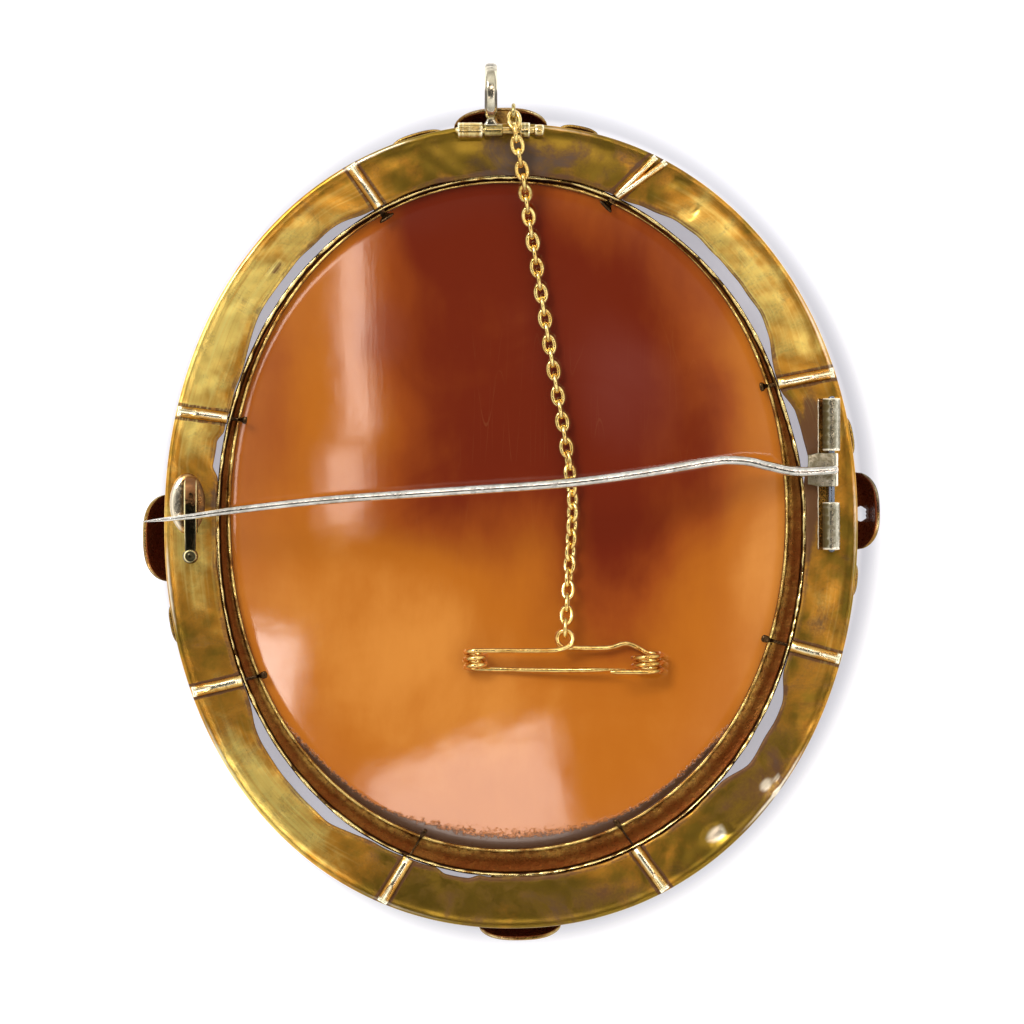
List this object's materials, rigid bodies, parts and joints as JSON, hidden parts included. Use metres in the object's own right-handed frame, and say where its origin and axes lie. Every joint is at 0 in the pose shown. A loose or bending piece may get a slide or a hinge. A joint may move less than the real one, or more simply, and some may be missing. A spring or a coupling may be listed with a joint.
{
  "type": "cameo brooch",
  "caption": "Oval shell cameo brooch lying on its carved face, with stamped gilt scroll front, strapped back band, hinged pin and catch, folding pendant bail and safety pin on a fine chain.",
  "frame": {"origin": "middle of the brooch's foot, on the surface that it lies on face down", "axes": "+Z out of the back, +Y towards the bail at the top, +X to the right as seen from behind"},
  "size_m": [0.0592, 0.0704, 0.0109],
  "materials": {
    "front_gilt": "worn gilt, darker in the hollows",
    "band_gilt": "worn satin gilt with brown tarnish",
    "bezel_gilt": "dull, dirty gilt",
    "shell": "polished brown and orange shell, pale on its carved side",
    "pin_silver": "worn silver-grey",
    "rivet_steel": "dull blue-grey",
    "bail_silver": "worn silver",
    "rivet_gilt": "worn pale gilt",
    "chain_gold": "bright gilt",
    "safety_gold": "bright gilt, slightly worn"
  },
  "bodies": {
    "brooch": {"front_frame": "front_gilt", "back_band": "band_gilt", "bezel": "bezel_gilt", "cameo": "shell", "pin_rivet": "rivet_steel", "bail_rivet": "rivet_gilt", "safety_chain": "chain_gold", "safety_pin": "safety_gold"},
    "pin": {"pin": "pin_silver"},
    "bail": {"bail": "bail_silver"}
  },
  "joints": [
    {"name": "pin_swing", "type": "hinge", "parent": "brooch", "child": "pin", "pos_m": [0.02557, 0.00263, 0.0088], "axis": [0, 1, 0], "range_deg": [0, 105]},
    {"name": "bail_fold", "type": "hinge", "parent": "brooch", "child": "bail", "pos_m": [-0.00003, 0.02973, 0.00855], "axis": [1, 0, 0], "range_deg": [0, 140]}
  ]
}
